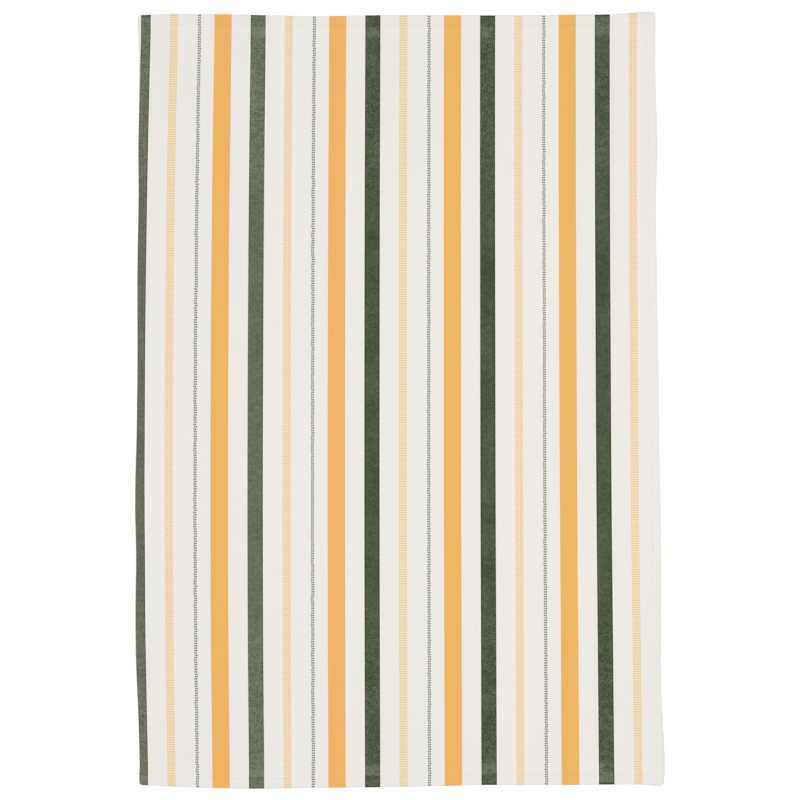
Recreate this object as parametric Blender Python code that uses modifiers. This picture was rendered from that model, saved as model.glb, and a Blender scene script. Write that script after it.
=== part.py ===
"""A tea towel lying flat and face up: one woven cloth, hemmed on all four sides.

Units are metres and +Z is up. +X runs across the towel from its left edge to its right one, and +Y runs
along its stripes from the bottom end to the top one. The origin is the bottom centre of the towel's box.

The cloth starts as its underside: a flat grid whose outer lines are bent to the uneven edges, and which is
lifted in a few low waves. A solidify then gives it its thickness: one layer in the field, three in a hem
that is turned under twice, and more where two hems cross in a corner.
"""

from collections import namedtuple

import bmesh
import bpy
import numpy as np

MM = 0.001

# Finished size: a common 19 by 28 inch towel.
WIDTH = 0.481
LENGTH = 0.710

# Thickness of the cloth.
ONE_LAYER = 1.2 * MM
HEM = 2.2 * MM
HEM_CORNER = 2.8 * MM

# Hems: how wide each is, and how far inside it the cloth comes down to the surface.
SIDE_HEM_WIDTH = 9.0 * MM
END_HEM_WIDTH = 10.5 * MM
SETTLING = 5.5 * MM

# The folded edge is round, and so is each corner seen from above.
FOLD_RADIUS = 0.8 * MM
FOLD_SEGMENTS = 2
FOLD_ANGLE = np.radians(50)  # an edge sharper than this is the towel's folded rim
CORNER_RADIUS = 2.6 * MM

# Grid steps: over a corner's rounding, over the settling cloth, and in the field.
CORNER_STEPS = 2
SETTLING_STEPS = 2
FIELD_STEP = 16 * MM

# How far the long edges bow outwards (minus is inwards). A row for each stretch, from the bottom end up.
SideBow = namedtuple("SideBow", "up left_mm right_mm")
SIDE_BOWS = (
    SideBow(0.00, -2.3, 3.3),
    SideBow(0.03, -2.3, 4.3),
    SideBow(0.06, -1.8, 3.5),
    SideBow(0.10, -0.9, 1.9),
    SideBow(0.15, 0.7, 1.2),
    SideBow(0.22, 1.3, 1.3),
    SideBow(0.30, 0.9, 1.2),
    SideBow(0.36, 1.6, 0.7),
    SideBow(0.46, 0.4, -0.7),
    SideBow(0.52, -0.2, -1.1),
    SideBow(0.68, -0.4, -3.0),
    SideBow(0.77, -1.4, -3.5),
    SideBow(0.82, -1.2, -2.7),
    SideBow(0.92, -2.0, -4.0),
    SideBow(1.00, -1.0, -4.5),
)

# The same for the two ends. A row for each stretch, from the left edge to the right one.
EndBow = namedtuple("EndBow", "across bottom_mm top_mm")
END_BOWS = (
    EndBow(0.00, -1.3, -0.7),
    EndBow(0.05, 0.0, 0.5),
    EndBow(0.12, 1.2, 0.6),
    EndBow(0.17, 1.5, 0.3),
    EndBow(0.22, 1.9, -0.2),
    EndBow(0.30, 1.5, -1.1),
    EndBow(0.38, 1.2, -1.2),
    EndBow(0.48, 0.8, -0.4),
    EndBow(0.56, 0.0, -0.5),
    EndBow(0.65, -1.1, -0.8),
    EndBow(0.75, -1.0, -0.8),
    EndBow(0.85, -1.4, 0.0),
    EndBow(0.92, -1.7, 0.4),
    EndBow(0.96, -1.8, 1.6),
    EndBow(1.00, -0.8, 2.4),
)

# The low waves in which the cloth stands off the surface, each an oval dome. Between them it lies flat.
Wave = namedtuple("Wave", "across up half_width half_length lift_mm")
WAVES = (
    Wave(1.00, 0.04, 0.045, 0.062, 2.3),  # the curled lower right corner
    Wave(0.99, 0.99, 0.050, 0.045, 1.2),  # the upper right corner, pulled outwards
    Wave(0.00, 0.21, 0.040, 0.055, 1.1),  # the left edge, where it bows most
    Wave(0.00, 0.38, 0.038, 0.060, 1.2),
    Wave(0.21, 0.00, 0.085, 0.040, 1.3),  # the bottom hem, where it bows most
    Wave(0.09, 0.84, 0.045, 0.120, 0.9),  # the soft swell below the upper left corner
    Wave(1.00, 0.81, 0.040, 0.065, 1.0),  # the right edge, above its middle
    Wave(0.72, 1.00, 0.080, 0.040, 0.9),  # the top hem, right of its middle
)

COTTON_COLOUR = (0.83, 0.82, 0.78, 1.0)
COTTON_ROUGHNESS = 0.9


def clear_scene():
    for old in list(bpy.data.objects):
        bpy.data.objects.remove(old, do_unlink=True)


def smooth_through(stations, values, at):
    """A curve through the stations: a cubic over each gap, whose slopes come from the neighbours."""
    stations, values = np.asarray(stations), np.asarray(values)
    slopes = np.gradient(values, stations)
    start = np.clip(np.searchsorted(stations, at, side="right") - 1, 0, len(stations) - 2)
    gap = stations[start + 1] - stations[start]
    t = (at - stations[start]) / gap
    return (
        values[start] * (1 + 2 * t) * (1 - t) ** 2
        + values[start + 1] * t**2 * (3 - 2 * t)
        + gap * slopes[start] * t * (1 - t) ** 2
        - gap * slopes[start + 1] * t**2 * (1 - t)
    )


def bow(rows, column, at):
    """How far an edge bows at a share of its length, in metres, from one column of its table."""
    stations = [row[0] for row in rows]
    values = [getattr(row, column) for row in rows]
    return smooth_through(stations, values, at) * MM


def grid_lines(size, hem_width):
    """The grid lines' shares of one side: close over the corner, then at the hem's inner edge, then down
    the settling cloth, and then even steps to the same lines at the other end."""
    corner = np.linspace(0, CORNER_RADIUS, CORNER_STEPS + 1)
    settling = np.linspace(hem_width, hem_width + SETTLING, SETTLING_STEPS + 1)
    rim = np.concatenate([corner, settling])
    steps = round((size - 2 * rim[-1]) / FIELD_STEP)
    field = np.linspace(rim[-1], size - rim[-1], steps + 1)
    return np.concatenate([rim[:-1], field, size - rim[-2::-1]]) / size


def round_corners(across, up):
    """Moves the shares inside each corner's square so that its two outer sides become one arc.

    From the arc's centre towards the corner, p and q run from 0 to 1, and the square is turned into a
    quarter of a disc by p * sqrt(1 - q^2 / 2) and q * sqrt(1 - p^2 / 2)."""
    from_side = np.minimum(across, 1 - across) * WIDTH
    from_end = np.minimum(up, 1 - up) * LENGTH
    p = np.clip(1 - from_side / CORNER_RADIUS, 0, 1)
    q = np.clip(1 - from_end / CORNER_RADIUS, 0, 1)
    inwards_x = (p - p * np.sqrt(1 - q**2 / 2)) * CORNER_RADIUS / WIDTH
    inwards_y = (q - q * np.sqrt(1 - p**2 / 2)) * CORNER_RADIUS / LENGTH
    return across + np.sign(0.5 - across) * inwards_x, up + np.sign(0.5 - up) * inwards_y


def place_on_surface(across, up):
    """X and Y of each share: a blend between the two bowed edges it lies between."""
    left = -WIDTH / 2 - bow(SIDE_BOWS, "left_mm", up)
    right = WIDTH / 2 + bow(SIDE_BOWS, "right_mm", up)
    bottom = -LENGTH / 2 - bow(END_BOWS, "bottom_mm", across)
    top = LENGTH / 2 + bow(END_BOWS, "top_mm", across)
    return left + (right - left) * across, bottom + (top - bottom) * up


def wave_lift(across, up):
    """The height of the underside: the highest dome at each place, (1 - r^2)^2 of its lift, r from 0 to 1."""
    lift = np.zeros_like(across)
    for wave in WAVES:
        r_squared = ((across - wave.across) * WIDTH / wave.half_width) ** 2
        r_squared += ((up - wave.up) * LENGTH / wave.half_length) ** 2
        dome = np.clip(1 - r_squared, 0, 1) ** 2 * wave.lift_mm * MM
        lift = np.maximum(lift, dome)
    return lift


def hem_share(share, size, hem_width):
    """1 over a hem, 0 in the field, and an S-curve between them where the cloth settles."""
    inside = np.minimum(share, 1 - share) * size - hem_width
    t = np.clip(1 - inside / SETTLING, 0, 1)
    return t * t * (3 - 2 * t)


def thickness(across, up):
    """One layer in the field, three in a hem, and the two hems together in a corner."""
    side = hem_share(across, WIDTH, SIDE_HEM_WIDTH)
    end = hem_share(up, LENGTH, END_HEM_WIDTH)
    in_hem = np.maximum(side, end)
    in_corner = side * end
    return ONE_LAYER + in_hem * (HEM - ONE_LAYER) + in_corner * (HEM_CORNER - HEM)


def cotton():
    material = bpy.data.materials.new("cotton")
    material.use_nodes = True
    shader = material.node_tree.nodes["Principled BSDF"]
    shader.inputs["Base Color"].default_value = COTTON_COLOUR
    shader.inputs["Roughness"].default_value = COTTON_ROUGHNESS
    shader.inputs["Metallic"].default_value = 0.0
    material.diffuse_color = COTTON_COLOUR
    return material


def underside(name):
    """The open lower surface, with a vertex group that holds how much each point is thickened."""
    columns = grid_lines(WIDTH, SIDE_HEM_WIDTH)
    rows = grid_lines(LENGTH, END_HEM_WIDTH)
    sheet = bmesh.new()
    bmesh.ops.create_grid(sheet, x_segments=len(columns) - 1, y_segments=len(rows) - 1, size=0.5)
    column_of = [round((vert.co.x + 0.5) * (len(columns) - 1)) for vert in sheet.verts]
    row_of = [round((vert.co.y + 0.5) * (len(rows) - 1)) for vert in sheet.verts]
    across, up = round_corners(columns[column_of], rows[row_of])

    x, y = place_on_surface(across, up)
    z = wave_lift(across, up)
    x -= (x.min() + x.max()) / 2
    y -= (y.min() + y.max()) / 2
    weights = (thickness(across, up) - ONE_LAYER) / (HEM_CORNER - ONE_LAYER)

    layers = sheet.verts.layers.deform.verify()
    for vert, place, weight in zip(sheet.verts, np.column_stack([x, y, z]), weights):
        vert.co = place
        vert[layers][0] = weight
    mesh = bpy.data.meshes.new(name)
    sheet.to_mesh(mesh)
    sheet.free()
    return mesh


def towel(collection):
    cloth = bpy.data.objects.new("towel", underside("towel"))
    collection.objects.link(cloth)
    cloth.vertex_groups.new(name="layers")

    thicken = cloth.modifiers.new("layers of cloth", "SOLIDIFY")
    thicken.thickness = HEM_CORNER
    thicken.offset = 1
    thicken.vertex_group = "layers"
    thicken.thickness_vertex_group = ONE_LAYER / HEM_CORNER

    fold = cloth.modifiers.new("folded edge", "BEVEL")
    fold.width = FOLD_RADIUS
    fold.segments = FOLD_SEGMENTS
    fold.limit_method = "ANGLE"
    fold.angle_limit = FOLD_ANGLE

    cloth.data.materials.append(cotton())
    cloth.data.shade_smooth()
    return cloth


def main():
    clear_scene()
    collection = bpy.data.collections.new("tea_towel")
    bpy.context.scene.collection.children.link(collection)
    towel(collection)


main()
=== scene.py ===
# %% [markdown]
# # A striped tea towel, lying flat
#
# The real towel is one rectangle of plain-woven cotton. It is cut, turned under twice on all four sides,
# sewn down with white thread, and then printed with stripes on its upper side.
#
# The solid that the frame brings in is one closed sheet with the towel's outline. It says where the cloth is
# and how thick its edges are, but not how the cloth is folded. Here the cloth is built again as the real one
# is made: a flat cut, folded by formulas that say where each point of the cut ends up.

from collections import namedtuple

import bpy
import numpy as np
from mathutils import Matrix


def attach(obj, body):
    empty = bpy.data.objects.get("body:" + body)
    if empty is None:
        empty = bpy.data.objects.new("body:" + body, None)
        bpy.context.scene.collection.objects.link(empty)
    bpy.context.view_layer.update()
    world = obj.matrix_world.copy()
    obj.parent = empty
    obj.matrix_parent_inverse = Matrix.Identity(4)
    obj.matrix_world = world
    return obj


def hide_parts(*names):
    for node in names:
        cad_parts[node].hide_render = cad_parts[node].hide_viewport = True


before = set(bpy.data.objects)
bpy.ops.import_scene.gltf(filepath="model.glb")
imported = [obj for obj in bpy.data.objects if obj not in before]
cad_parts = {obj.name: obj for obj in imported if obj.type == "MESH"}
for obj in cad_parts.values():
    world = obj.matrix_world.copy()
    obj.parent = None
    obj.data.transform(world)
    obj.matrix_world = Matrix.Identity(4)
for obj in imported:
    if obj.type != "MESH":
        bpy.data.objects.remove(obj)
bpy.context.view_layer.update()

# %% [markdown]
# ## Sizes
#
# A maker starts from the finished size and adds the hems. Every hem is turned under twice, so each edge of
# the cut takes two hem widths: one for the turn that shows on the back, and one for the raw edge inside it.

# %% Sizes of the cut
MM = 0.001
WIDTH = 0.481
LENGTH = 0.710
SIDE_HEM = 9.0 * MM
END_HEM = 10.5 * MM
CUT_WIDTH = WIDTH + 4 * SIDE_HEM
CUT_LENGTH = LENGTH + 4 * END_HEM
SPACING = 0.42 * MM  # from one layer of cloth to the next
FILL = 0.86  # how much of the spacing the cloth itself fills
HALF_CLOTH = FILL / 2 * SPACING
print(f"finished {WIDTH:.3f} x {LENGTH:.3f} m, cut {CUT_WIDTH:.3f} x {CUT_LENGTH:.3f} m")

# %% [markdown]
# ## Camera, lamps and table
#
# The towel was photographed from straight above. A long lens far away keeps the rectangle square, and its
# distance follows from similar triangles: the picture's width on the table is to the distance as the sensor
# is to the focal length.
#
# Cloth that lies flat is lit well by one large lamp and an even sky: the sky keeps the whites clean, and the
# lamp gives the hems and the weave a soft side of light and shade. It hangs over the middle, a little to the
# right, so the light falls off gently towards the left edge and the ends.

# %% The camera
PIXEL = 0.92 * MM
PICTURE = 800 * PIXEL
PICTURE_CENTRE = (0.09 * MM, 0.20 * MM)
FACE_HEIGHT = 1.0 * MM
LENS_MM = 85.0
SENSOR_MM = 36.0

lens = bpy.data.cameras.new("camera")
lens.lens = LENS_MM
lens.sensor_width = SENSOR_MM
camera = bpy.data.objects.new("camera", lens)
camera.location = (*PICTURE_CENTRE, PICTURE * LENS_MM / SENSOR_MM + FACE_HEIGHT)
bpy.context.scene.collection.objects.link(camera)
bpy.context.scene.camera = camera
bpy.context.scene.view_settings.view_transform = "Standard"
print(f"camera {camera.location.z:.3f} m above the table, picture {PICTURE:.3f} m wide")

# %% The lamp and the sky
SKY_STRENGTH = 0.56
LAMP_WATTS = 36.8
LAMP_SIZE = 1.2
LAMP_PLACE = (0.13, -0.04, 2.3)

sky = bpy.data.worlds.new("even sky")
sky.use_nodes = True
sky.node_tree.nodes["Background"].inputs["Color"].default_value = (1.0, 1.0, 1.0, 1.0)
sky.node_tree.nodes["Background"].inputs["Strength"].default_value = SKY_STRENGTH
bpy.context.scene.world = sky

softbox = bpy.data.lights.new("softbox", "AREA")
softbox.size = LAMP_SIZE
softbox.energy = LAMP_WATTS
lamp = bpy.data.objects.new("softbox", softbox)
lamp.location = LAMP_PLACE
towards_towel = -lamp.location
lamp.rotation_euler = towards_towel.to_track_quat("-Z", "Y").to_euler()
bpy.context.scene.collection.objects.link(lamp)
print(f"lamp {lamp.location.length:.2f} m from the towel")


# %% [markdown]
# ## Meshes from arrays
#
# Every new piece is a surface worked out with numpy. One helper puts the finished arrays into a mesh: the
# points, the faces as lists of point numbers, and one or more flat maps with a place for every corner of
# every face.

# %% A mesh from arrays
def mesh_from(name, points, faces, maps):
    """An object from points (n, 3), faces of any number of corners, and maps {name: (corners, 2)}."""
    mesh = bpy.data.meshes.new(name)
    mesh.from_pydata(points.tolist(), [], faces)
    for map_name, places in maps.items():
        layer = mesh.uv_layers.new(name=map_name)
        layer.data.foreach_set("uv", places.astype(np.float32).ravel())
    mesh.shade_smooth()
    piece = bpy.data.objects.new(name, mesh)
    bpy.context.scene.collection.objects.link(piece)
    return piece


def grid_faces(rows, columns, first=0):
    """The quads of a grid of points that is stored row by row, anticlockwise seen from its face."""
    corner = first + np.arange(rows * columns).reshape(rows, columns)
    quads = [corner[:-1, :-1], corner[:-1, 1:], corner[1:, 1:], corner[1:, :-1]]
    return np.stack(quads, axis=-1).reshape(-1, 4)


# %% [markdown]
# ## The uneven outline
#
# Cloth is never a true rectangle. The long edges of this towel bow in and out by a few millimetres, the ends
# do so less, and the corners are a little round where the hems cross. The tables give how far each edge
# stands outwards at a few stations, and a smooth curve runs through them.

# %% A smooth curve through a few stations
def weights_through(stations, at):
    """How much each station counts at a place, so that values weighted by it run smoothly through them all.

    Between two stations it is the cubic that meets both values, with slopes taken from the neighbours."""
    stations = np.asarray(stations, float)
    at = np.asarray(at, float)
    one_each = np.eye(len(stations))
    slopes = np.gradient(one_each, stations, axis=0)
    start = np.clip(np.searchsorted(stations, at, side="right") - 1, 0, len(stations) - 2)
    gap = (stations[start + 1] - stations[start])[..., None]
    t = (at - stations[start])[..., None] / gap
    return (
        one_each[start] * (1 + 2 * t) * (1 - t) ** 2
        + one_each[start + 1] * t**2 * (3 - 2 * t)
        + gap * slopes[start] * t * (1 - t) ** 2
        - gap * slopes[start + 1] * t**2 * (1 - t)
    )


# %% How far the edges bow
# Each row is a share of the edge's length, then how far the two edges stand outwards there, in millimetres.
SideBow = namedtuple("SideBow", "up left_mm right_mm")
SIDE_BOWS = (
    SideBow(0.00, -2.3, 3.3),
    SideBow(0.03, -2.3, 4.3),
    SideBow(0.06, -1.8, 3.5),
    SideBow(0.10, -0.9, 1.9),
    SideBow(0.15, 0.7, 1.2),
    SideBow(0.22, 1.3, 1.3),
    SideBow(0.30, 0.9, 1.2),
    SideBow(0.36, 1.6, 0.7),
    SideBow(0.46, 0.4, -0.7),
    SideBow(0.52, -0.2, -1.1),
    SideBow(0.68, -0.4, -3.0),
    SideBow(0.77, -1.4, -3.5),
    SideBow(0.82, -1.2, -2.7),
    SideBow(0.92, -2.0, -4.0),
    SideBow(1.00, -1.0, -4.5),
)
EndBow = namedtuple("EndBow", "across bottom_mm top_mm")
END_BOWS = (
    EndBow(0.00, -1.3, -0.7),
    EndBow(0.05, 0.0, 0.5),
    EndBow(0.12, 1.2, 0.6),
    EndBow(0.17, 1.5, 0.3),
    EndBow(0.22, 1.9, -0.2),
    EndBow(0.30, 1.5, -1.1),
    EndBow(0.38, 1.2, -1.2),
    EndBow(0.48, 0.8, -0.4),
    EndBow(0.56, 0.0, -0.5),
    EndBow(0.65, -1.1, -0.8),
    EndBow(0.75, -1.0, -0.8),
    EndBow(0.85, -1.4, 0.0),
    EndBow(0.92, -1.7, 0.4),
    EndBow(0.96, -1.8, 1.6),
    EndBow(1.00, -0.8, 2.4),
)


def bow(rows, column, at):
    """How far an edge bows at a share of its length, in metres."""
    stations = [row[0] for row in rows]
    values = np.array([getattr(row, column) for row in rows])
    return weights_through(stations, np.clip(at, 0, 1)) @ values * MM


def edges(across, up):
    """The x of the left and right edges at a share of the length, and the y of the ends at one of the width.

    They are those of the middle of the cloth, which is half a thickness inside the outline."""
    left = -WIDTH / 2 - bow(SIDE_BOWS, "left_mm", up) + HALF_CLOTH
    right = WIDTH / 2 + bow(SIDE_BOWS, "right_mm", up) - HALF_CLOTH
    bottom = -LENGTH / 2 - bow(END_BOWS, "bottom_mm", across) + HALF_CLOTH
    top = LENGTH / 2 + bow(END_BOWS, "top_mm", across) - HALF_CLOTH
    return left, right, bottom, top


all_along = np.linspace(0, 1, 400)
left, right, bottom, top = edges(all_along, all_along)
CENTRE_X = (left.min() + right.max()) / 2
CENTRE_Y = (bottom.min() + top.max()) / 2
print(f"outline {right.max() - left.min():.4f} x {top.max() - bottom.min():.4f} m")

# %% Shares of the rectangle to places on the table
CORNER_RADIUS = 2.6 * MM


def round_corners(across, up):
    """Moves the shares inside each corner's square so that its two outer sides become one arc.

    From the arc's centre towards the corner, p and q run from 0 to 1, and the square is turned into a
    quarter of a disc by p * sqrt(1 - q^2 / 2) and q * sqrt(1 - p^2 / 2)."""
    from_side = np.minimum(across, 1 - across) * WIDTH
    from_end = np.minimum(up, 1 - up) * LENGTH
    p = np.clip(1 - from_side / CORNER_RADIUS, 0, 1)
    q = np.clip(1 - from_end / CORNER_RADIUS, 0, 1)
    inwards_x = (p - p * np.sqrt(1 - q**2 / 2)) * CORNER_RADIUS / WIDTH
    inwards_y = (q - q * np.sqrt(1 - p**2 / 2)) * CORNER_RADIUS / LENGTH
    return across + np.sign(0.5 - across) * inwards_x, up + np.sign(0.5 - up) * inwards_y


def place_on_table(across, up):
    """X and Y of each share: a blend between the two bowed edges it lies between."""
    left, right, bottom, top = edges(across, up)
    return left + (right - left) * across - CENTRE_X, bottom + (top - bottom) * up - CENTRE_Y


print("lower left corner at", np.round(place_on_table(0.0, 0.0), 4))

# %% [markdown]
# ## Folding the hems
#
# The cut is measured from its middle outwards. Up to the folded edge a line of cloth is on the face. Then it
# turns down round the fold and runs back inwards under the face, which is the strip that shows on the back.
# At the hem's inner edge it turns up and runs outwards again between the two, to its raw edge.
#
# So a plain hem has three layers. The sides are folded first and the ends are folded over them, which makes
# nine layers in a corner. The same function serves both folds: it gives the run or turn that a line is in,
# as shares that the next cell multiplies by the number of layers found there.

# %% Where a line of the cut goes in a hem
OUTER_TURN = SPACING  # the radius of the turn at the folded edge
INNER_TURN = SPACING / 2  # and of the one at the hem's inner edge
BLEND = 2.0 * MM

Folded = namedtuple("Folded", "far inset outer inner layer bottom middle own")


def fold(path, size, hem):
    """Follows a line of the cut from the middle (path 0) round both turns of a hem.

    far is whether it is past the middle. The distance from the folded edge is inset + outer * outer radius
    + inner * inner radius + layer * depth of its own layer, and the depth is bottom * lowest layer + middle
    * middle layer + own * its own layer. In a turn these follow the sine and cosine of its angle."""
    beyond = np.abs(path) - (size / 2 - OUTER_TURN)
    outer_end = np.pi * OUTER_TURN
    bottom_end = outer_end + hem - OUTER_TURN - INNER_TURN
    inner_end = bottom_end + np.pi * INNER_TURN
    runs = [beyond <= 0, beyond <= outer_end, beyond <= bottom_end, beyond <= inner_end]
    phi = np.clip(beyond / OUTER_TURN, 0, np.pi)
    psi = np.clip((beyond - bottom_end) / INNER_TURN, 0, np.pi)
    near_outer = np.clip(1 - np.maximum(-beyond, beyond - outer_end) / BLEND, 0, 1)
    near_inner = np.clip(1 - np.maximum(bottom_end - beyond, beyond - inner_end) / BLEND, 0, 1)
    straight = [OUTER_TURN - beyond, 0, OUTER_TURN + beyond - outer_end, hem]
    middle_run = hem - INNER_TURN - (beyond - inner_end)
    outer = np.select(runs, [near_outer, 1 - np.sin(phi), near_outer, 0], 0)
    inner = np.select(runs, [0, 0, -near_inner, np.sin(psi) - 1], -near_inner)
    inset = np.select(runs, straight, middle_run)
    on_run = np.select(runs, [1, 0, 1, 0], 1)
    inset = inset - on_run * (outer * OUTER_TURN + inner * INNER_TURN)
    return Folded(
        far=path > 0,
        inset=inset,
        outer=outer,
        inner=inner,
        layer=np.select(runs, [0, np.sin(phi), 0, -np.sin(psi)], 0),
        bottom=np.select(runs, [0, (1 - np.cos(phi)) / 2, 1, (1 + np.cos(psi)) / 2], 0),
        middle=np.select(runs, [0, 0, 0, (1 - np.cos(psi)) / 2], 1),
        own=np.select(runs, [1, np.cos(phi), -1, -np.cos(psi)], 1),
    )


one_hem = fold(WIDTH / 2 + np.array([-20, -5, 1, 5, 9.5, 14]) * MM, WIDTH, SIDE_HEM)
print("distance from the folded edge in mm:", np.round(one_hem.inset / MM, 2))
print("share of the lowest layer:", np.round(one_hem.bottom, 2))

# %% [markdown]
# ## The lie of the cloth
#
# A washed and pressed cotton towel touches the table almost everywhere. A few low waves lift its edge, most
# of all at the lower right corner, which curls. Between them the cloth swells by up to a fifth of a
# millimetre, and the pull of the sewing thread gathers small ripples beside each hem. All of this is a sum
# of domes and slow sine curves, with a fixed seed for their phases.

# %% Waves, swells and ripples
Wave = namedtuple("Wave", "across up half_width half_length lift_mm droop")
WAVES = (
    Wave(1.00, 0.04, 0.045, 0.062, 2.3, 0.95),  # the curled lower right corner
    Wave(0.99, 0.99, 0.050, 0.045, 1.2, 0.3),  # the upper right corner, pulled outwards
    Wave(0.00, 0.21, 0.040, 0.055, 1.1, 0.4),  # the left edge, where it bows most
    Wave(0.00, 0.38, 0.038, 0.060, 1.2, 0.4),
    Wave(0.21, 0.00, 0.085, 0.040, 1.3, 0.0),  # the bottom hem, where it bows most
    Wave(0.09, 0.84, 0.045, 0.120, 0.9, 0.4),  # the soft swell below the upper left corner
    Wave(1.00, 0.81, 0.040, 0.065, 1.0, 0.4),  # the right edge, above its middle
    Wave(0.72, 1.00, 0.080, 0.040, 0.9, 0.0),  # the top hem, right of its middle
)
SWELL = 0.22 * MM
SWELL_LENGTHS = (0.31, 0.19, 0.13)
SWELL_SLANTS = (0.4, -0.3)  # so that the swells run along neither the sides nor the ends
RIPPLE = 0.16 * MM
RIPPLE_LENGTHS = (0.037, 0.023, 0.015)
RIPPLE_SLANT = 3
RIPPLE_REACH = 7.0 * MM
RIM_WIDTH = 3.2 * MM
NAP = 0.19 * MM  # the loose fibres and the thread under the hems hold the cloth off the table
SEED = 28
phases = np.random.default_rng(SEED).uniform(0, 2 * np.pi, (4, 3))


def meander(along, lengths, phase):
    """A slow, uneven curve from 0 to 1: the mean of sines of the given wavelengths."""
    total = sum(np.sin(2 * np.pi * along / length + p) for length, p in zip(lengths, phase))
    return 0.5 + 0.5 * total / len(lengths)


def lift_at(across, up, from_side, from_end):
    """How far the lowest layer stands off the table.

    The waves are domes, (1 - r^2)^2 of their lift with r from 0 to 1. The outer rim of a lifted side hem
    droops again: it loses a share of that lift, times the cube of how far out in the rim it is. The swells
    are a product of two meanders, and the ripples are meanders along a hem that fade out on both sides of
    its inner edge."""
    domes = np.zeros(np.broadcast(across, up).shape)
    rim = np.clip(1 - from_side / RIM_WIDTH, 0, 1) ** 3
    for wave in WAVES:
        r_squared = ((across - wave.across) * WIDTH / wave.half_width) ** 2
        r_squared = r_squared + ((up - wave.up) * LENGTH / wave.half_length) ** 2
        dome = np.clip(1 - r_squared, 0, 1) ** 2 * wave.lift_mm * MM
        domes = np.maximum(domes, dome * (1 - wave.droop * rim))
    x, y = across * WIDTH, up * LENGTH
    swell = meander(x + SWELL_SLANTS[0] * y, SWELL_LENGTHS, phases[0])
    swell = swell * meander(y + SWELL_SLANTS[1] * x, SWELL_LENGTHS, phases[1])
    beside_side = np.exp(-(((from_side - SIDE_HEM) / RIPPLE_REACH) ** 2))
    beside_end = np.exp(-(((from_end - END_HEM) / RIPPLE_REACH) ** 2))
    ripple = beside_side * meander(y + RIPPLE_SLANT * x, RIPPLE_LENGTHS, phases[2])
    ripple = np.maximum(ripple, beside_end * meander(x + RIPPLE_SLANT * y, RIPPLE_LENGTHS, phases[3]))
    return domes + SWELL * swell + RIPPLE * ripple + NAP


print(f"{len(WAVES)} waves, up to {max(wave.lift_mm for wave in WAVES)} mm high")

# %% [markdown]
# ## From the cut to the folded cloth
#
# The surface is a function of two parameters, the distances of a point of the flat cut from its middle. The
# side fold comes first and says which of its three layers the point is in. The end fold then turns that whole
# pile: a layer that is deep on the face comes out high on the strip underneath, because the pile is turned
# over. The height counts layers up from the table, so the cloth rises from one layer to three over a hem.

# %% The folded surface
SETTLING = 5.5 * MM
CORNER_SPACING = 0.29 * MM
SIDE_SEAM = 7.4 * MM
END_SEAM = 8.9 * MM
SEAM_HALF_WIDTH = 0.8 * MM
SEAM_DEPTH = 0.22 * MM
EDGE_DEPTH = 0.16 * MM
SIDE_MIDDLE, SIDE_BOTTOM = 1, 2


def hem_share(from_edge, hem):
    """1 over a hem, 0 in the field, and an S-curve between them where the cloth settles."""
    t = np.clip(1 - (from_edge - hem) / SETTLING, 0, 1)
    return t * t * (3 - 2 * t)


def share_of(size, from_edge, far):
    """The share of the width or length at a distance from one of the two edges."""
    return np.where(far, 1 - from_edge / size, from_edge / size)


def cloth_at(path_x, path_y):
    """The middle of the cloth at each point of the cut, and the spacing of the layers there.

    A hem of side share a makes 2 + 6a the depth of the lowest layer under an end hem and 1 + 2a that of the
    middle one. The height is the lift + (pile + 0.5 - depth) * spacing, where the seams and the folded edges
    press the whole pile down by the same small depth, however many layers it has."""
    side = fold(path_x, WIDTH, SIDE_HEM)
    end = fold(path_y, LENGTH, END_HEM)
    near_side = side.inset + side.outer * OUTER_TURN + side.inner * INNER_TURN
    near_end = end.inset + end.outer * OUTER_TURN + end.inner * INNER_TURN
    a, b = hem_share(near_side, SIDE_HEM), hem_share(near_end, END_HEM)
    spacing = SPACING + a * b * (CORNER_SPACING - SPACING)

    own_layer = side.bottom * SIDE_BOTTOM + side.middle * SIDE_MIDDLE
    lowest, middle = 2 + 6 * a, 1 + 2 * a
    from_side = side.inset + (side.outer + side.inner / 2) * spacing
    from_end = end.inset + end.outer * lowest / 2 * spacing
    from_end = from_end + end.inner * (lowest - middle) / 2 * spacing + end.layer * own_layer * spacing
    depth = end.bottom * lowest + end.middle * middle + end.own * own_layer
    pile = 2 * a * (1 - b) + b * (2 + 6 * a)

    seam = np.exp(-(((near_side - SIDE_SEAM) / SEAM_HALF_WIDTH) ** 2))
    seam = np.maximum(seam, np.exp(-(((near_end - END_SEAM) / SEAM_HALF_WIDTH) ** 2)))
    edge = np.clip(1 - np.minimum(near_side, near_end) / RIM_WIDTH, 0, 1) ** 2
    pressed = spacing - (SEAM_DEPTH * seam + EDGE_DEPTH * edge) / (pile + 1)

    across, up = share_of(WIDTH, from_side, side.far), share_of(LENGTH, from_end, end.far)
    x, y = place_on_table(*round_corners(across, up))
    z = lift_at(across, up, near_side, near_end) + (pile + 0.5 - depth) * pressed
    return np.stack(np.broadcast_arrays(x, y, z), axis=-1), pressed


# %% [markdown]
# ## Where the print lies
#
# The stripes are straight in the print, but not on the towel, because cloth is pulled out of true when it is
# hemmed and washed. A second small table says how far the stripes have wandered sideways at six places
# across and six places up. Taking that away from a point's place gives its place in the print, which goes
# into the cloth's own flat map, in metres. Past the folded edge it simply runs on round the fold.

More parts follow.
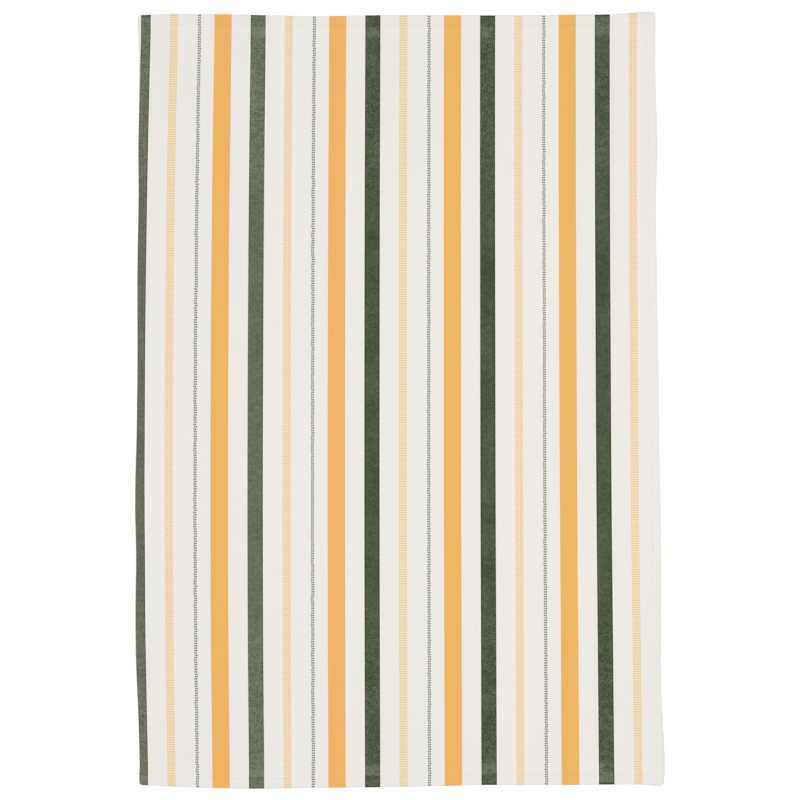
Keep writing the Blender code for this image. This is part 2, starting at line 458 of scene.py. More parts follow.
# %% The print map
WANDER_ACROSS = (-0.2326, -0.1654, -0.0586, 0.0482, 0.1550, 0.2162)
WANDER_UP = (0.008, 0.176, 0.371, 0.565, 0.759, 0.992)
WANDER_MM = np.array(
    [
        [0.8, 0.8, 0.6, 0.8, 1.8, 2.7],
        [-1.35, -0.55, 0.15, 0.45, 1.0, 1.5],
        [-2.35, -1.1, -0.1, 0.0, 0.0, -0.15],
        [-2.0, -0.7, 0.0, -0.1, -0.6, -1.1],
        [-0.25, 0.35, 0.4, -0.2, -1.1, -1.9],
        [3.25, 2.6, 1.25, 0.0, -1.3, -2.15],
    ]
)


def print_place(path_x, path_y):
    """The place in the print: x without the stripes' wandering, and the distance along the cut."""
    across = path_x / WIDTH + 0.5
    up = np.clip(path_y / LENGTH + 0.5, 0, 1)
    left, right, _, _ = edges(np.clip(across, 0, 1), up)
    x = left + (right - left) * across - CENTRE_X
    over = weights_through(WANDER_ACROSS, np.clip(x, left - CENTRE_X, right - CENTRE_X))
    along = weights_through(WANDER_UP, up)
    wander = np.einsum("...i,ij,...j->...", along, WANDER_MM, over) * MM
    return np.stack(np.broadcast_arrays(x - wander, path_y), axis=-1)


print(f"stripes wander from {WANDER_MM.min()} to {WANDER_MM.max()} mm")

# %% [markdown]
# ## The cloth as a mesh
#
# A grid of lines is laid over the cut: close together round the turns, at the seams and where the cloth
# settles, and a few millimetres apart in the field. All layers of a hem have their lines above each other, so
# that they dip together at a seam and none shows through the next.
#
# The cloth has two sides, so every point is moved half a thickness along the surface's normal for the face
# and half against it for the back, and a narrow strip closes the raw edge all round.

# %% Grid lines
FIELD_STEP = 4.4 * MM
SETTLING_LINES = np.array([0.33, 0.67, 1.0])
BESIDE_FOLD = (1.2 * MM, 2.4 * MM)
TURN_STEPS = 6
INNER_STEPS = 4


def grid_lines(size, hem, seam):
    """Distances from the middle of the cut, from one raw edge to the other."""
    folded_edge = size / 2 - OUTER_TURN
    outer_end = np.pi * OUTER_TURN
    bottom_end = outer_end + hem - OUTER_TURN - INNER_TURN
    inner_end = bottom_end + np.pi * INNER_TURN
    raw_edge = inner_end + hem - 3 * INNER_TURN
    settled = size / 2 - hem - SETTLING
    at_seam = (seam - SEAM_HALF_WIDTH, seam, seam + SEAM_HALF_WIDTH)
    in_layer = np.array([*BESIDE_FOLD, seam / 2 + MM, *at_seam])
    half = np.concatenate(
        [
            np.linspace(0, settled, round(settled / FIELD_STEP) + 1),
            settled + SETTLING * SETTLING_LINES,
            size / 2 - in_layer[::-1],
            folded_edge + np.linspace(0, outer_end, TURN_STEPS + 1),
            folded_edge + outer_end - OUTER_TURN + in_layer,
            folded_edge + np.linspace(bottom_end, inner_end, INNER_STEPS + 1),
            folded_edge + inner_end + hem - INNER_TURN - in_layer[::-1],
            [folded_edge + raw_edge],
        ]
    )
    return np.concatenate([-half[:0:-1], half])


lines_x = grid_lines(WIDTH, SIDE_HEM, SIDE_SEAM)
lines_y = grid_lines(LENGTH, END_HEM, END_SEAM)
path_x, path_y = np.meshgrid(lines_x, lines_y)
middle_of_cloth, spacing = cloth_at(path_x, path_y)
print(f"grid of {len(lines_x)} by {len(lines_y)} lines, z up to {middle_of_cloth[..., 2].max() / MM:.2f} mm")

# %% Two sides and a rim
def unit(vectors):
    """Vectors of length 1, and of length 0 where they have none."""
    return vectors / np.maximum(np.linalg.norm(vectors, axis=-1, keepdims=True), 1e-12)


def normals_of(surface):
    """The face's normal at each point of a grid: the cross product of its two tangents."""
    return unit(np.cross(np.gradient(surface, axis=1), np.gradient(surface, axis=0)))


rows, columns = path_x.shape
count = rows * columns
half_thickness = normals_of(middle_of_cloth) * (FILL / 2 * spacing)[..., None]
face_side = (middle_of_cloth + half_thickness).reshape(-1, 3)
back_side = (middle_of_cloth - half_thickness).reshape(-1, 3)

face_quads = grid_faces(rows, columns)
back_quads = grid_faces(rows, columns, first=count)[:, ::-1]
number = np.arange(count).reshape(rows, columns)
border = np.concatenate([number[0, :-1], number[:-1, -1], number[-1, :0:-1], number[:0:-1, 0]])
after = np.roll(border, -1)
rim_quads = np.stack([border, border + count, after + count, after], axis=-1)
quads = np.concatenate([face_quads, back_quads, rim_quads])
print(f"{len(face_quads)} faces on each side and {len(rim_quads)} on the rim")

# %% [markdown]
# The cloth gets two maps. The first is its place in the print. The second spreads it out flat in one square,
# as a tailor would lay out the cut: the face in the left half, the back in the right half, and the rim as a
# narrow strip above them. No two places share a spot there, so a picture of the finish can be baked to it.

# %% Maps of the cloth
HALF_SQUARE = np.array([0.48, 0.95])
FACE_CORNER, BACK_CORNER = np.array([0.01, 0.01]), np.array([0.51, 0.01])
RIM_LEFT, RIM_BOTTOM, RIM_HEIGHT = 0.01, 0.975, 0.01

print_map = print_place(path_x, path_y).reshape(-1, 2)
cut_share = np.stack([path_x / CUT_WIDTH + 0.5, path_y / CUT_LENGTH + 0.5], axis=-1).reshape(-1, 2)
shells = np.concatenate([FACE_CORNER + HALF_SQUARE * cut_share, BACK_CORNER + HALF_SQUARE * cut_share])
rim_from = np.arange(len(border)) / len(border)
rim_to = rim_from + 1 / len(border)
rim_across = RIM_LEFT + (1 - 2 * RIM_LEFT) * np.stack([rim_from, rim_from, rim_to, rim_to], axis=-1)
rim_up = RIM_BOTTOM + RIM_HEIGHT * np.array([0, 1, 1, 0])
rim_map = np.stack(np.broadcast_arrays(rim_across, rim_up), axis=-1).reshape(-1, 2)
shell_corners = np.concatenate([face_quads, back_quads]).ravel()
cloth = mesh_from(
    "towel_cloth",
    np.concatenate([face_side, back_side]),
    quads.tolist(),
    {
        "print": np.concatenate([print_map, print_map])[quads.ravel()],
        "OFBake": np.concatenate([shells[shell_corners], rim_map]),
    },
)
print(f"{cloth.name}: {len(cloth.data.polygons)} faces")

# %% [markdown]
# Which finish a face gets depends on where it lies. The ink was put on after hemming, so only what faces up
# is printed. The back of that face shows the ink faintly through, and the turned hems stay white.

# %% Finishes by place
PRINTED, SHOWN_THROUGH, UNPRINTED = 0, 1, 2
INK_WRAP = 0.5 * MM

centres = np.stack([path_x, path_y], axis=-1).reshape(-1, 2)[face_quads].mean(axis=1)
half_face = np.array([WIDTH / 2 - OUTER_TURN + INK_WRAP, LENGTH / 2 - OUTER_TURN + INK_WRAP])
on_face = np.all(np.abs(centres) < half_face, axis=1)
finish = np.concatenate(
    [
        np.where(on_face, PRINTED, UNPRINTED),
        np.where(on_face, SHOWN_THROUGH, UNPRINTED),
        np.full(len(rim_quads), UNPRINTED),
    ]
)
cloth.data.polygons.foreach_set("material_index", finish.astype(np.int32))
print("faces printed:", int((finish == PRINTED).sum()))

# %% [markdown]
# ## The seams
#
# A lockstitch shows as a row of short grains: the thread comes up through a needle hole, lies along the
# cloth and goes down the next hole. One thread runs on the face and one on the back, through the same holes.
# Each is a tube carried along the seam, whose height over the cloth rises and dips once a stitch. The side
# seams were sewn first, so they run on round the end folds. The end seams cross them at each corner. Like
# the cloth, a thread took ink only where it faces up.

# %% Thread along a path on the cloth
STITCH = 3.0 * MM
THREAD_RADIUS = 0.16 * MM
THREAD_SIDES = 5
STATIONS = np.array([0.0, 0.12, 0.30, 0.70, 0.88])
FACE_SINK, BACK_SINK = 0.15, 0.9  # how much of its radius a thread sinks in: the back one is lain on
PROBE = 0.2 * MM  # how far to either side the cloth's slope is taken


def stitch_height(share, thickness, sink):
    """How far the thread is from the middle of the cloth: deep in a hole at 0 and 1, on top between."""
    high = thickness / 2 + THREAD_RADIUS * (1 - sink)
    low = -thickness / 2
    return high + (low - high) * np.abs(2 * share - 1) ** 4


def thread_row(path_x, path_y, sink):
    """Points (n, sides, 3) and print places of a thread that follows the given line of the cut."""
    place, spacing = cloth_at(path_x, path_y)
    over_x = cloth_at(path_x + PROBE, path_y)[0] - cloth_at(path_x - PROBE, path_y)[0]
    over_y = cloth_at(path_x, path_y + PROBE)[0] - cloth_at(path_x, path_y - PROBE)[0]
    normal = unit(np.cross(over_x, over_y))
    share = np.resize(STATIONS, len(path_x))
    centre = place + normal * stitch_height(share, FILL * spacing, sink)[:, None]
    tangent = unit(np.gradient(place, axis=0))
    sideways = unit(np.cross(tangent, normal))
    turn = np.linspace(0, 2 * np.pi, THREAD_SIDES, endpoint=False)
    ring = np.cos(turn)[:, None] * normal[:, None] + np.sin(turn)[:, None] * sideways[:, None]
    return centre[:, None] + THREAD_RADIUS * ring, print_place(path_x, path_y)


def stitch_stations(start, end):
    """Places along a seam: whole stitches between two ends, with the same few stations in each."""
    stitches = round((end - start) / STITCH)
    length = (end - start) / stitches
    return start + (np.arange(stitches)[:, None] + STATIONS).ravel() * length


# %% All eight rows
UNDER = np.pi * OUTER_TURN - 2 * OUTER_TURN  # how much more cloth the round turn takes than a sharp one
SIDE_SEAM_STOPS = 1.0 * MM  # before a hem's width past the end, which is on the back
END_SEAM_STOPS = 1.5 * MM  # before the folded side


def rows_of_thread():
    """(path_x, path_y, on the back) of every row: two seams along the sides and two along the ends."""
    side_face, side_back = WIDTH / 2 - SIDE_SEAM, WIDTH / 2 + SIDE_SEAM + UNDER
    end_face, end_back = LENGTH / 2 - END_SEAM, LENGTH / 2 + END_SEAM + UNDER
    round_the_ends = LENGTH / 2 + END_HEM - SIDE_SEAM_STOPS
    up_to_hems = LENGTH / 2 - END_HEM
    to_the_edge = WIDTH / 2 - END_SEAM_STOPS
    for sign in (-1, 1):
        for at, reach, back in ((side_face, round_the_ends, False), (side_back, up_to_hems, True)):
            along = stitch_stations(-reach, reach)
            yield np.full(len(along), sign * at), along, back
        for at, back in ((end_face, False), (end_back, True)):
            along = stitch_stations(-to_the_edge, to_the_edge)
            yield along, np.full(len(along), sign * at), back


thread_points, thread_prints, thread_faces, thread_finish = [], [], [], []
first = 0
for row_x, row_y, on_back in rows_of_thread():
    rings, prints = thread_row(row_x, row_y, BACK_SINK if on_back else FACE_SINK)
    length = len(rings)
    ring_number = first + np.arange(length * THREAD_SIDES).reshape(length, THREAD_SIDES)
    beside = np.roll(ring_number, -1, axis=1)
    tube = np.stack([ring_number[:-1], ring_number[1:], beside[1:], beside[:-1]], axis=-1)
    thread_points.append(rings.reshape(-1, 3))
    thread_prints.append(np.repeat(prints, THREAD_SIDES, axis=0))
    thread_faces += tube.reshape(-1, 4).tolist()
    thread_faces += [ring_number[0].tolist(), ring_number[-1, ::-1].tolist()]
    under_fold = on_back | (np.abs(row_y[:-1]) > half_face[1])
    thread_finish += np.repeat(under_fold, THREAD_SIDES).tolist() + [True, True]
    first += length * THREAD_SIDES

stitches = mesh_from(
    "hem_stitches",
    np.concatenate(thread_points),
    thread_faces,
    {"print": np.concatenate(thread_prints)[np.concatenate(thread_faces)]},
)
stitches.data.polygons.foreach_set("material_index", np.array(thread_finish, np.int32))
print(f"{stitches.name}: {len(stitches.data.polygons)} faces")

# %% [markdown]
# ## Shader nodes in a few words
#
# A node tree is long to write out, so a few helpers shorten it: they add a node, feed a socket with either
# a number or another node's output, and make or use a group with named sockets.

# %% Node helpers
def add_node(tree, kind, feeds=(), **settings):
    """A new node with its settings, and its inputs fed in order. None leaves an input as it is."""
    node = tree.nodes.new(kind)
    for name, value in settings.items():
        setattr(node, name, value)
    for socket, value in zip(node.inputs, feeds):
        feed(tree, socket, value)
    return node


def feed(tree, socket, value):
    """Links an output to a socket, or sets the socket to a value."""
    if isinstance(value, bpy.types.NodeSocket):
        tree.links.new(value, socket)
    elif value is not None:
        socket.default_value = value


def calc(tree, operation, *values, clamp=False):
    """The output of a Math node."""
    return add_node(tree, "ShaderNodeMath", values, operation=operation, use_clamp=clamp).outputs[0]


def blend_colours(tree, share, low, high, mode="MIX"):
    """The output of a Mix node between two colours."""
    node = add_node(tree, "ShaderNodeMix", data_type="RGBA", blend_type=mode)
    for socket, value in zip([node.inputs[0], node.inputs[6], node.inputs[7]], (share, low, high)):
        feed(tree, socket, value)
    return node.outputs[2]


def noise(tree, place, scale, detail=2.0, roughness=0.5):
    """A noise value that is mostly from 0.3 to 0.7."""
    node = add_node(tree, "ShaderNodeTexNoise")
    for name, value in (("Vector", place), ("Scale", scale), ("Detail", detail), ("Roughness", roughness)):
        feed(tree, node.inputs[name], value)
    return node.outputs[0]


def centred_noise(tree, *place_and_looks):
    """The same noise about zero."""
    return calc(tree, "SUBTRACT", noise(tree, *place_and_looks), 0.5)


def stretched(tree, place, across, along):
    """A place scaled by different amounts across and along the cloth."""
    node = add_node(tree, "ShaderNodeVectorMath", operation="MULTIPLY")
    feed(tree, node.inputs[0], place)
    node.inputs[1].default_value = (across, along, 0.0)
    return node.outputs[0]


def new_group(name, inputs, outputs):
    """A group's tree, its inputs' node and its outputs' node. Inputs are (name, kind, default)."""
    tree = bpy.data.node_groups.new(name, "ShaderNodeTree")
    for socket_name, kind, default in inputs:
        socket = tree.interface.new_socket(socket_name, in_out="INPUT", socket_type=kind)
        if default is not None:
            socket.default_value = default
    for socket_name, kind in outputs:
        tree.interface.new_socket(socket_name, in_out="OUTPUT", socket_type=kind)
    return tree, tree.nodes.new("NodeGroupInput"), tree.nodes.new("NodeGroupOutput")


def use_group(tree, group, **values):
    """Places a group in a material or in another group. A name's underscores stand for spaces."""
    node = add_node(tree, "ShaderNodeGroup", node_tree=group)
    for name, value in values.items():
        feed(tree, node.inputs[name.replace("_", " ")], value)
    return node


# %% [markdown]
# ## The weave
#
# Plain weave is the simplest there is: every crosswise yarn goes over one lengthwise yarn and under the
# next. The product of two sines changes its sign from one crossing to the next, just as the yarns do, so it
# says which one is on top. The yarn on top is round across its own width and only slightly arched along it.
#
# Spun cotton is uneven, so each yarn also has a tone of its own, which shows as faint long streaks.

# %% The weave group
# A noise's scale is how many of its grains come to a millimetre, here and in the print.
YARN_PITCH_MM = 0.48
YARN_WAVER_MM, YARN_WAVER_SCALE = 0.5, 0.35
ARCH = 0.4  # a low power makes the yarn on top almost level along its own length
STREAKS = 0.05
STREAK_ACROSS, LENGTHWISE_ALONG, CROSSWISE_ALONG = 1.1, 0.010, 0.012
FIBRE_SCALE = 3.0
CROSS_SHARE, FIBRE_SHARE = 0.35, 0.25
STREAK_MEAN = (1 + CROSS_SHARE + FIBRE_SHARE) / 2
MEAN_HEIGHT, GAP_SHADE = 0.6, 0.10

weave, given, made = new_group(
    "plain weave",
    [
        ("Cloth place", "NodeSocketVector", None),
        ("Yarn pitch mm", "NodeSocketFloat", YARN_PITCH_MM),
        ("Streaks", "NodeSocketFloat", STREAKS),
    ],
    [("Height", "NodeSocketFloat"), ("Tone", "NodeSocketFloat")],
)
in_mm = stretched(weave, given.outputs["Cloth place"], 1 / MM, 1 / MM)
waver = calc(weave, "MULTIPLY", centred_noise(weave, in_mm, YARN_WAVER_SCALE), YARN_WAVER_MM)
apart = add_node(weave, "ShaderNodeSeparateXYZ", (in_mm,))
halves = []
for axis in (0, 1):
    wavered = calc(weave, "ADD", apart.outputs[axis], waver)
    yarns = calc(weave, "DIVIDE", wavered, given.outputs["Yarn pitch mm"])
    halves.append(calc(weave, "SINE", calc(weave, "MULTIPLY", yarns, np.pi)))
lengthwise, crosswise = (calc(weave, "ABSOLUTE", half) for half in halves)
lengthwise_top = calc(weave, "MULTIPLY", lengthwise, calc(weave, "POWER", crosswise, ARCH))
crosswise_top = calc(weave, "MULTIPLY", crosswise, calc(weave, "POWER", lengthwise, ARCH))
which = calc(weave, "GREATER_THAN", calc(weave, "MULTIPLY", *halves), 0.0)
height = add_node(weave, "ShaderNodeMix", (which,), data_type="FLOAT")
feed(weave, height.inputs[2], crosswise_top)
feed(weave, height.inputs[3], lengthwise_top)

along_length = stretched(weave, in_mm, STREAK_ACROSS, LENGTHWISE_ALONG)
along_cross = stretched(weave, in_mm, CROSSWISE_ALONG, STREAK_ACROSS)
length_streak = noise(weave, along_length, 1.0, detail=3.0, roughness=0.7)
cross_streak = noise(weave, along_cross, 1.0, detail=3.0, roughness=0.7)
fibres = noise(weave, in_mm, FIBRE_SCALE)
streaks = calc(weave, "ADD", length_streak, calc(weave, "MULTIPLY", cross_streak, CROSS_SHARE))
streaks = calc(weave, "ADD", streaks, calc(weave, "MULTIPLY", fibres, FIBRE_SHARE))
streaks = calc(weave, "MULTIPLY", calc(weave, "SUBTRACT", streaks, STREAK_MEAN), given.outputs["Streaks"])
# Painted shade: the tone is a little darker where a yarn dips into the gaps and lighter on its top.
gaps = calc(weave, "MULTIPLY", calc(weave, "SUBTRACT", height.outputs[0], MEAN_HEIGHT), GAP_SHADE)
feed(weave, made.inputs["Height"], height.outputs[0])
feed(weave, made.inputs["Tone"], calc(weave, "ADD", calc(weave, "ADD", streaks, 1.0), gaps))
print(f"{weave.name}: {len(weave.nodes)} nodes")

# %% [markdown]
# ## The print
#
# The stripes repeat every 106.8 mm: a plain mustard band, a mottled green band, a narrow ladder of mustard
# rungs and a double row of small green dots. Wrapping the distance to a stripe's centre line into one repeat
# turns all copies of that stripe into one, so each needs a single mask. The dots are finer than the yarns
# carry well: their ink runs together a little, and each pair sits slightly left or right of its line.
#
# The green ink has taken unevenly. It is paler in the two bands on the left, speckled like leather, most of
# all near the two ends. Painted light makes it lighter beside the end hems, on the thick lower left corner
# and, in the band on the right, all over the hems, broken up beside the hems by patches of uneven ink. It has
# gathered along the edges of its bands, where it is darker, and painted shade darkens it at the folded ends.

# %% Colours of the inks
WHITE_SHARE = 0.875  # the table shows as white, so a colour of the photograph is this share of it


def shows_as(red, green, blue):
    """The linear colour of a finish that shows as this red, green and blue (in 255ths) in this light."""
    srgb = np.array([red, green, blue]) / 255
    linear = np.where(srgb <= 0.04045, srgb / 12.92, ((srgb + 0.055) / 1.055) ** 2.4)
    return (*(linear * WHITE_SHARE), 1.0)


COTTON_WHITE = shows_as(237, 234, 230)
MUSTARD = shows_as(238, 181, 98)
LADDER_YELLOW = shows_as(239, 192, 100)
DEEP_GREEN = shows_as(56, 70, 43)
WORN_GREEN = shows_as(125, 131, 114)
DOT_GREEN = shows_as(66, 82, 34)
print("cotton white", np.round(COTTON_WHITE[:3], 3), "mustard", np.round(MUSTARD[:3], 3))

# %% The print group
# Sizes in millimetres. Places are counted from the print's middle, and an INK or GROUND is a share.
REPEAT = 106.8
FIRST_MUSTARD = -165.2
MUSTARD_WIDTH = 16.0
GREEN_AFTER, GREEN_WIDTH = 32.7, 14.05
LADDER_AFTER, LADDER_WIDTH = 61.2, 7.4
DOTS_AFTER = 84.95
SMALL_PITCH = 2.184
RUNG, RUNG_INK, RUNG_SOFT = 1.09, 0.82, 0.6
RAIL, RAIL_INK, RAIL_SOFT = 0.55, 0.6, 0.3
RAILS = (3.3, 1.2)  # to either side of the ladder's centre line
LADDER_GROUND = 0.08
DOT_WIDTH, DOT_LENGTH, DOT_OFFSET = 1.28, 1.10, 0.76
DOT_INK, DOT_GROUND = 0.92, 0.22
DOT_WAVER = 1.5
LINE_CHANGE, PAIR_CHANGE = 0.03, 1.31  # how the dots' noise moves on, in a mm across and from pair to pair
PANEL_LEFT, PANEL_RIGHT = -241.2, 228.9
SHARP = 0.16
RAGGED, RAGGED_SCALE = 0.25, 1.6

stripes, given, made = new_group(
    "striped print",
    [("Print place", "NodeSocketVector", None)],
    [("Colour", "NodeSocketColor")],
)
in_mm = stretched(stripes, given.outputs["Print place"], 1 / MM, 1 / MM)
apart = add_node(stripes, "ShaderNodeSeparateXYZ", (in_mm,))
ragged = calc(stripes, "MULTIPLY", centred_noise(stripes, in_mm, RAGGED_SCALE), RAGGED)
across_mm = calc(stripes, "ADD", apart.outputs[0], ragged)
along_mm = apart.outputs[1]


def within(distance, half_width, soft=SHARP):
    """1 where a distance is less than a half width, 0 beyond it, with a soft step between."""
    gap = calc(stripes, "DIVIDE", calc(stripes, "SUBTRACT", half_width, distance), soft)
    return calc(stripes, "ADD", gap, 0.5, clamp=True)


def from_stripe(centre):
    """The distance to the nearest copy of a stripe, counted across the repeat."""
    shifted = calc(stripes, "SUBTRACT", across_mm, centre)
    wrapped = calc(stripes, "WRAP", shifted, REPEAT / 2, -REPEAT / 2)
    return calc(stripes, "ABSOLUTE", wrapped)


def both(*masks):
    """The product of masks."""
    total = masks[0]
    for mask in masks[1:]:
        total = calc(stripes, "MULTIPLY", total, mask)
    return total


def from_line(distance, line):
    """The distance to the nearer of two lines, one on either side."""
    return calc(stripes, "ABSOLUTE", calc(stripes, "SUBTRACT", distance, line))


on_panel = both(
    within(calc(stripes, "MULTIPLY", across_mm, -1.0), -PANEL_LEFT),
    within(across_mm, PANEL_RIGHT),
)
mustard = within(from_stripe(FIRST_MUSTARD), MUSTARD_WIDTH / 2)
from_green = from_stripe(FIRST_MUSTARD + GREEN_AFTER)
green = within(from_green, GREEN_WIDTH / 2)

from_row = calc(stripes, "ABSOLUTE", calc(stripes, "WRAP", along_mm, SMALL_PITCH / 2, -SMALL_PITCH / 2))
from_ladder = from_stripe(FIRST_MUSTARD + LADDER_AFTER)
outer_and_inner = [within(from_line(from_ladder, rail), RAIL / 2, RAIL_SOFT) for rail in RAILS]
rails = both(calc(stripes, "MAXIMUM", *outer_and_inner), RAIL_INK)
rungs = both(within(from_row, RUNG / 2, RUNG_SOFT), RUNG_INK)
rungs_and_rails = calc(stripes, "MAXIMUM", calc(stripes, "MAXIMUM", rungs, rails), LADDER_GROUND)
ladder = both(within(from_ladder, LADDER_WIDTH / 2), rungs_and_rails)

pair_number = calc(stripes, "ROUND", calc(stripes, "DIVIDE", along_mm, SMALL_PITCH))
pair = [
    calc(stripes, "MULTIPLY", across_mm, LINE_CHANGE),
    calc(stripes, "MULTIPLY", pair_number, PAIR_CHANGE),
]
pair_place = add_node(stripes, "ShaderNodeCombineXYZ", pair).outputs[0]
pair_shift = centred_noise(stripes, pair_place, 1.0, 0.0)
dots_centre = calc(stripes, "MULTIPLY_ADD", pair_shift, DOT_WAVER, FIRST_MUSTARD + DOTS_AFTER)
from_dots = from_line(from_stripe(dots_centre), DOT_OFFSET)
dot_rows = calc(stripes, "MAXIMUM", within(from_row, DOT_LENGTH / 2), DOT_GROUND)
dots = both(within(from_dots, DOT_WIDTH / 2), dot_rows, DOT_INK)
print(f"{len(stripes.nodes)} nodes so far in {stripes.name}")

# %% How pale and mottled the green is
# A pair of places is where a smooth step starts and ends, in millimetres across or from the towel's end.
PALE_TO_DEEP = (-115.0, -50.0)
PALE_SHARE, DEEP_SHARE = 0.56, 0.18
HALF_LENGTH = LENGTH / MM / 2
END_TO_MIDDLE = (110.0, 190.0)
END_PALE = 1.19
END_MOTTLE, MIDDLE_MOTTLE = 2.2, 1.25
EVEN_MOTTLE, PALE_MOTTLE = 0.85, 0.6
SPECKLE_SCALE = 0.80
BLOTCH, BLOTCH_SCALE = 0.35, 0.21
CLOUD, CLOUD_SCALE = 0.5, 0.03


def ramp(value, low, high, to_low=0.0, to_high=1.0):
    """A smooth step of a value from one number to another."""
    node = add_node(stripes, "ShaderNodeMapRange", (value, low, high, to_low, to_high))
    node.interpolation_type = "SMOOTHSTEP"
    return node.outputs[0]


from_end = calc(stripes, "SUBTRACT", HALF_LENGTH, calc(stripes, "ABSOLUTE", along_mm))
band_pale = ramp(across_mm, *PALE_TO_DEEP, PALE_SHARE, DEEP_SHARE)
pale = both(band_pale, ramp(from_end, *END_TO_MIDDLE, END_PALE, 1.0))

speckle = centred_noise(stripes, in_mm, SPECKLE_SCALE, 2.0, 0.6)
blotch = calc(stripes, "MULTIPLY", centred_noise(stripes, in_mm, BLOTCH_SCALE), BLOTCH)
near_end = ramp(from_end, *END_TO_MIDDLE, END_MOTTLE, MIDDLE_MOTTLE)
on_pale = calc(stripes, "ADD", calc(stripes, "MULTIPLY", pale, PALE_MOTTLE), EVEN_MOTTLE)
mottle = both(calc(stripes, "ADD", speckle, blotch), near_end, on_pale)
cloudy = calc(stripes, "MULTIPLY", centred_noise(stripes, in_mm, CLOUD_SCALE), CLOUD)
print(f"{len(stripes.nodes)} nodes so far in {stripes.name}")

# %% Painted light beside the hems, gathered ink, and painted shade at the folded ends
BESIDE_HEM = (10.3, 11.2)
HEM_LIGHT_UNTIL = (16.0, 24.0)
HEM_LIGHT = 0.37
RIGHT_BAND = (150.0, 180.0)
ON_ITS_HEMS = (1.5, 3.0)
PATCH_SCALE, PATCH_LEVELS = 0.09, (0.38, 0.56)
BETWEEN_PATCHES = 0.35
LEFT_HEM = (-231.0, -228.0)
LOWER_HEM = (8.6 - HALF_LENGTH, 9.2 - HALF_LENGTH)
CORNER_LIGHT = 0.35
BAND_EDGE = (GREEN_WIDTH / 2 - 1.4, GREEN_WIDTH / 2 - 0.3)
FOLDED_END = (0.5, 1.8)
EDGE_DARK, FOLD_SHADE = 0.16, 0.4
WARM_SCALE, WARM_LEVELS = 0.30, (0.40, 0.60)
WARM_TINT = (1.0, 0.92, 0.96, 1.0)

# Painted light: the green is lighter just inside the end hems, all over the hems of the band on the right and
# on the thick lower left corner. Beside the hems it comes in patches, where the ink took unevenly.
on_right = both(ramp(from_end, *ON_ITS_HEMS), ramp(across_mm, *RIGHT_BAND))
at_hem = calc(stripes, "MAXIMUM", ramp(from_end, *BESIDE_HEM), on_right)
patchy = ramp(noise(stripes, in_mm, PATCH_SCALE), *PATCH_LEVELS, BETWEEN_PATCHES, 1.0)
at_left = ramp(across_mm, *LEFT_HEM, 1.0, 0.0)
off_left = calc(stripes, "SUBTRACT", 1.0, at_left)
hem_light_and_patches = both(at_hem, ramp(from_end, *HEM_LIGHT_UNTIL, 1.0, 0.0), patchy, off_left, HEM_LIGHT)
corner_light = both(at_left, ramp(along_mm, *LOWER_HEM, 1.0, 0.0), CORNER_LIGHT)
hem_and_corner_light = calc(stripes, "ADD", hem_light_and_patches, corner_light)

# Gathered ink darkens the green along the edges of its bands. Painted shade darkens it at the folded ends,
# where the fold turns away from the light.
at_edge = both(ramp(from_green, *BAND_EDGE), EDGE_DARK)
fold_shade = both(ramp(from_end, *FOLDED_END, 1.0, 0.0), FOLD_SHADE)
ink_and_fold_shade = calc(stripes, "MAXIMUM", at_edge, fold_shade)

# How far the green goes to its pale end: paler and mottled ink plus painted light beside the hems, less the
# gathered ink at the band edges and the painted shade at the folded ends.
paleness_light_and_shade = calc(stripes, "ADD", calc(stripes, "ADD", pale, mottle), hem_and_corner_light)
paleness_light_and_shade = calc(stripes, "ADD", paleness_light_and_shade, cloudy, clamp=True)
paleness_light_and_shade = calc(stripes, "SUBTRACT", paleness_light_and_shade, ink_and_fold_shade, clamp=True)
green_ink = blend_colours(stripes, paleness_light_and_shade, DEEP_GREEN, WORN_GREEN)
warmth = ramp(noise(stripes, in_mm, WARM_SCALE), *WARM_LEVELS)
green_ink = blend_colours(stripes, warmth, green_ink, WARM_TINT, "MULTIPLY")
print(f"{len(stripes.nodes)} nodes so far in {stripes.name}")

# %% Inks on white cotton
colour = COTTON_WHITE
for mask, ink in ((mustard, MUSTARD), (ladder, LADDER_YELLOW), (green, green_ink), (dots, DOT_GREEN)):
    colour = blend_colours(stripes, both(mask, on_panel), colour, ink)
feed(stripes, made.inputs["Colour"], colour)
print(f"{stripes.name}: {len(stripes.nodes)} nodes")

# %% [markdown]
# ## Finishes
#
# The same two groups serve every finish. The face is cotton under ink, the back shows the ink faintly, and
# the hems' undersides are bare. Thread that faces up was printed over with the cloth, and the rest was not.
# Cotton has no shine, only the faint bloom of loose fibres, which is what sheen is for.

# %% A cotton finish
COTTON_SPECULAR = 0.2
SHEEN, SHEEN_ROUGHNESS = 0.12, 0.5


def cotton_finish(name, colour_of, yarn_pitch_mm, relief, roughness):
    """A material of woven cotton. colour_of(tree, place) gives the output that holds its colour."""
    material = bpy.data.materials.new(name)
    material.use_nodes = True
    tree = material.node_tree
    place = add_node(tree, "ShaderNodeUVMap", uv_map="print").outputs[0]
    yarns = use_group(tree, weave, Cloth_place=place, Yarn_pitch_mm=yarn_pitch_mm)
    tone = add_node(tree, "ShaderNodeCombineColor", [yarns.outputs["Tone"]] * 3).outputs[0]
    colour = blend_colours(tree, 1.0, colour_of(tree, place), tone, "MULTIPLY")
    bump = add_node(tree, "ShaderNodeBump")
    bump.inputs["Strength"].default_value = 1.0
    bump.inputs["Distance"].default_value = relief
    feed(tree, bump.inputs["Height"], yarns.outputs["Height"])
    shader = tree.nodes["Principled BSDF"]
    feed(tree, shader.inputs["Base Color"], colour)
    feed(tree, shader.inputs["Normal"], bump.outputs[0])
    shader.inputs["Roughness"].default_value = roughness
    shader.inputs["Specular IOR Level"].default_value = COTTON_SPECULAR
    shader.inputs["Sheen Weight"].default_value = SHEEN
    shader.inputs["Sheen Roughness"].default_value = SHEEN_ROUGHNESS
    return material


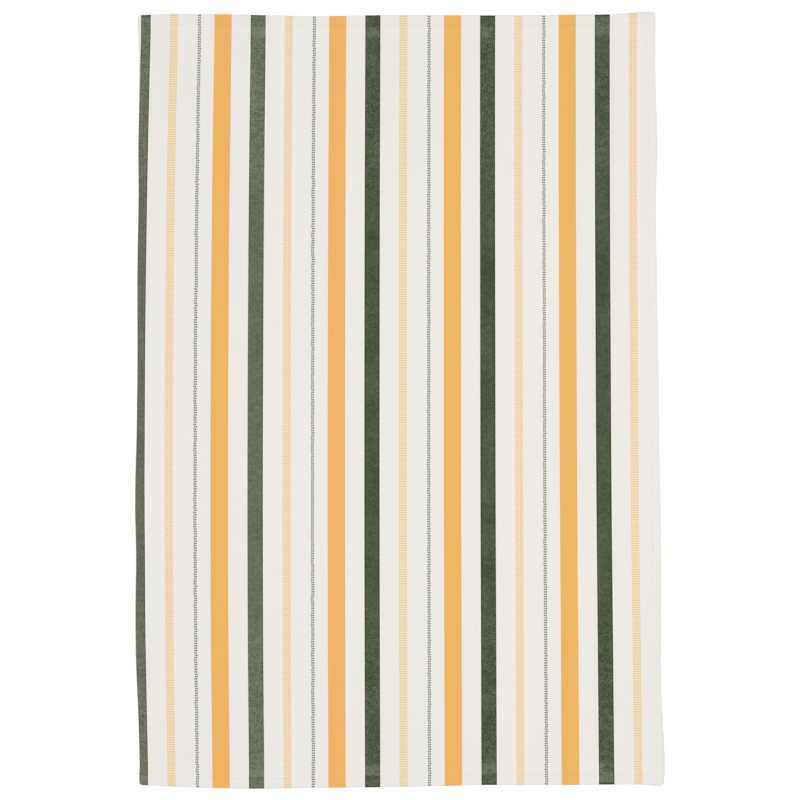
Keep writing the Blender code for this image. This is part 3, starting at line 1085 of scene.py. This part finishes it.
def printed(tree, place):
    """The colour of the inked face."""
    return use_group(tree, stripes, Print_place=place).outputs["Colour"]


def printed_through(tree, place):
    """The colour of the inked face's back."""
    return blend_colours(tree, SHOWS_THROUGH, COTTON_WHITE, printed(tree, place))


def bare(tree, place):
    """The colour of cotton without ink, the same at every place."""
    return COTTON_WHITE


SHOWS_THROUGH = 0.38
CLOTH_YARN = (YARN_PITCH_MM, 0.07 * MM, 0.92)  # pitch, relief and roughness
THREAD_YARN = (0.12, 0.03 * MM, 0.8)

for name, colour_of in (
    ("printed cotton", printed),
    ("back of the print", printed_through),
    ("bare cotton", bare),
):
    cloth.data.materials.append(cotton_finish(name, colour_of, *CLOTH_YARN))
for name, colour_of in (("printed thread", printed), ("white thread", bare)):
    stitches.data.materials.append(cotton_finish(name, colour_of, *THREAD_YARN))
print("finishes:", [m.name for m in bpy.data.materials])

# %% The table
TABLE_HALF = 3.0
PAPER_WHITE = (0.90, 0.90, 0.90, 1.0)
PAPER_ROUGHNESS, PAPER_SPECULAR = 0.9, 0.1

table_mesh = bpy.data.meshes.new("table")
corners = [(TABLE_HALF * x, TABLE_HALF * y, 0) for x, y in ((-1, -1), (1, -1), (1, 1), (-1, 1))]
table_mesh.from_pydata(corners, [], [(0, 1, 2, 3)])
table = bpy.data.objects.new("table", table_mesh)
bpy.context.scene.collection.objects.link(table)
paper = bpy.data.materials.new("white paper")
paper.use_nodes = True
paper_shader = paper.node_tree.nodes["Principled BSDF"]
paper_shader.inputs["Base Color"].default_value = PAPER_WHITE
paper_shader.inputs["Roughness"].default_value = PAPER_ROUGHNESS
paper_shader.inputs["Specular IOR Level"].default_value = PAPER_SPECULAR
table_mesh.materials.append(paper)
print(f"table {2 * TABLE_HALF:.0f} m wide")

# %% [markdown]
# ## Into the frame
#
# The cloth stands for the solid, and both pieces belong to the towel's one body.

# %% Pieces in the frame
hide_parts("towel")
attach(cloth, "root")
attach(stitches, "root")
